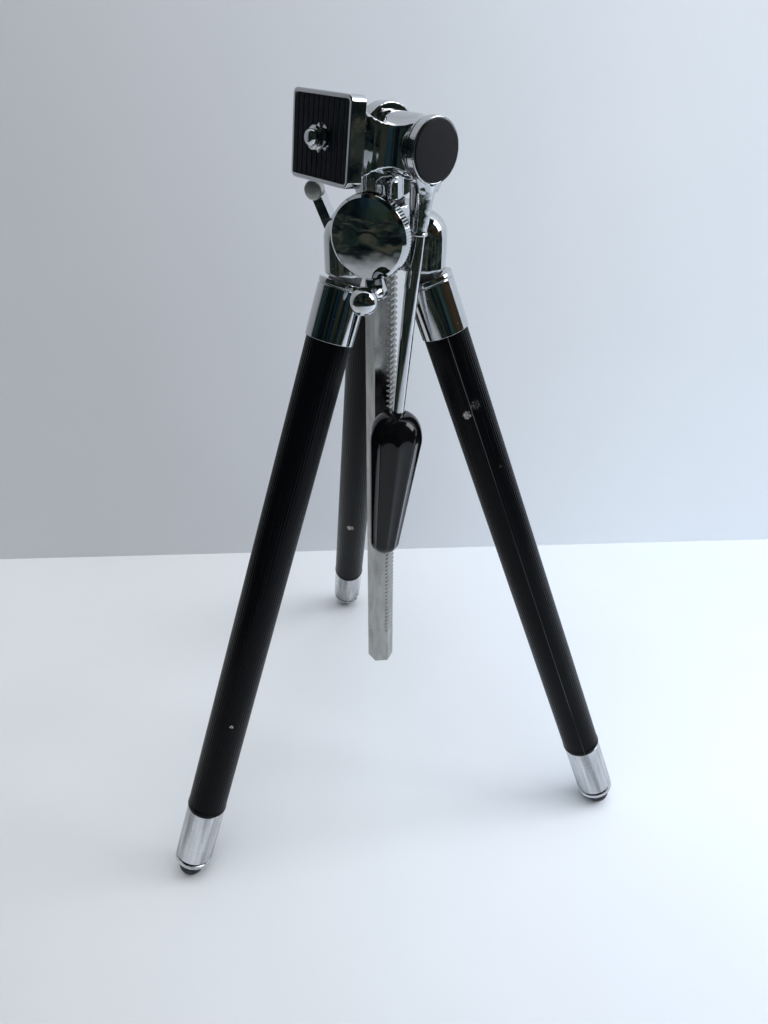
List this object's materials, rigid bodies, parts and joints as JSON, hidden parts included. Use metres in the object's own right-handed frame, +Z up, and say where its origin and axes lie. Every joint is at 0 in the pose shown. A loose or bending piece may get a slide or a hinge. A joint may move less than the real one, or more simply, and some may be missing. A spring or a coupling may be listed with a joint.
{
  "type": "camera table tripod",
  "caption": "Small folding table tripod with rack-and-pinion centre column, crank wheel, tilting camera plate with ribbed pad, and a hanging black handle.",
  "frame": {"origin": "on the floor, under the axis of the centre column", "axes": "+Z up along the column; the rear leg points along +Y, the left leg towards -X and -Y, the right leg towards +X and -Y"},
  "size_m": [0.1846, 0.1617, 0.2722],
  "materials": {
    "chrome": "polished plate on a zinc casting",
    "bright_steel": "nickel plated, drawn bar",
    "steel": "satin",
    "brass": "turned",
    "dark_washer": "hard fibre",
    "pad_rubber": "moulded with ribs",
    "foot_rubber": "moulded",
    "black_cap": "fine grain",
    "black_grip": "glossy moulded",
    "black_tube": "black enamel on fluted tube",
    "inner_tube": "bright drawn",
    "foot_aluminium": "satin anodised"
  },
  "bodies": {
    "base": {"housing": "chrome", "shoulders": "chrome", "hinge_pins": "steel", "pinion_bush": "brass"},
    "column": {"column": "bright_steel", "pan_washer": "dark_washer"},
    "crank": {"pinion": "steel", "crank_wheel": "chrome", "crank_knob": "chrome"},
    "lock": {"lock_bolt": "steel", "lock_lever": "chrome"},
    "pan_head": {"pan_base": "chrome", "tilt_axle": "steel"},
    "plate": {"plate_casting": "chrome", "plate_pad": "pad_rubber", "screw_clip": "steel"},
    "mount_screw": {"camera_screw": "steel", "screw_knob": "chrome"},
    "handle": {"handle_hub": "chrome", "hub_cap": "black_cap", "handle_rod": "chrome", "handle_grip": "black_grip"},
    "leg_left": {"knuckle_left": "steel", "ferrule_left": "chrome", "leg_tube_left": "black_tube"},
    "foot_left": {"inner_tube_left": "inner_tube", "foot_sleeve_left": "foot_aluminium", "foot_ring_left": "chrome", "foot_tip_left": "foot_rubber"},
    "leg_right": {"knuckle_right": "steel", "ferrule_right": "chrome", "leg_tube_right": "black_tube"},
    "foot_right": {"inner_tube_right": "inner_tube", "foot_sleeve_right": "foot_aluminium", "foot_ring_right": "chrome", "foot_tip_right": "foot_rubber"},
    "leg_rear": {"knuckle_rear": "steel", "ferrule_rear": "chrome", "leg_tube_rear": "black_tube"},
    "foot_rear": {"inner_tube_rear": "inner_tube", "foot_sleeve_rear": "foot_aluminium", "foot_ring_rear": "chrome", "foot_tip_rear": "foot_rubber"}
  },
  "joints": [
    {"name": "column_lift", "type": "slide", "parent": "base", "child": "column", "axis": [0, 0, 1], "range_m": [0, 0.04]},
    {"name": "crank_turn", "type": "hinge", "parent": "base", "child": "crank", "pos_m": [0.00553, -0.00387, 0.23737], "axis": [-0.5736, -0.8192, 0], "range_deg": [-850, 5]},
    {"name": "lock_turn", "type": "hinge", "parent": "base", "child": "lock", "pos_m": [-0.01065, 0.00746, 0.22897], "axis": [-0.5736, -0.8192, 0], "range_deg": [-30, 30]},
    {"name": "pan_turn", "type": "hinge", "parent": "column", "child": "pan_head", "pos_m": [0, 0, 0.24147], "axis": [0, 0, -1], "range_deg": [-8, 7]},
    {"name": "plate_tilt", "type": "hinge", "parent": "pan_head", "child": "plate", "pos_m": [0, 0, 0.25797], "axis": [0.5, -0.866, 0], "range_deg": [-120, 0]},
    {"name": "mount_screw_turn", "type": "hinge", "parent": "plate", "child": "mount_screw", "pos_m": [-0.01606, -0.01181, 0.26076], "axis": [-0.8603, -0.4967, 0.1149], "continuous": true},
    {"name": "handle_swing", "type": "hinge", "parent": "pan_head", "child": "handle", "pos_m": [0, 0, 0.25797], "axis": [0.5, -0.866, 0], "range_deg": [-7, 3]},
    {"name": "left_leg_fold", "type": "hinge", "parent": "base", "child": "leg_left", "pos_m": [-0.01109, -0.0064, 0.22587], "axis": [-0.5, 0.866, 0], "range_deg": [-21.5, 0]},
    {"name": "left_leg_slide", "type": "slide", "parent": "leg_left", "child": "foot_left", "axis": [-0.3174, -0.1833, -0.9304], "range_m": [0, 0.14]},
    {"name": "right_leg_fold", "type": "hinge", "parent": "base", "child": "leg_right", "pos_m": [0.01109, -0.0064, 0.22587], "axis": [-0.5, -0.866, 0], "range_deg": [-21.5, 0]},
    {"name": "right_leg_slide", "type": "slide", "parent": "leg_right", "child": "foot_right", "axis": [0.3174, -0.1833, -0.9304], "range_m": [0, 0.14]},
    {"name": "rear_leg_fold", "type": "hinge", "parent": "base", "child": "leg_rear", "pos_m": [0, 0.0128, 0.22587], "axis": [1, 0, 0], "range_deg": [-21.5, 0]},
    {"name": "rear_leg_slide", "type": "slide", "parent": "leg_rear", "child": "foot_rear", "axis": [0, 0.3665, -0.9304], "range_m": [0, 0.14]}
  ],
  "couplings": [
    {"joint": "crank_turn", "follows": "column_lift", "rad_per_m": -370.37}
  ]
}
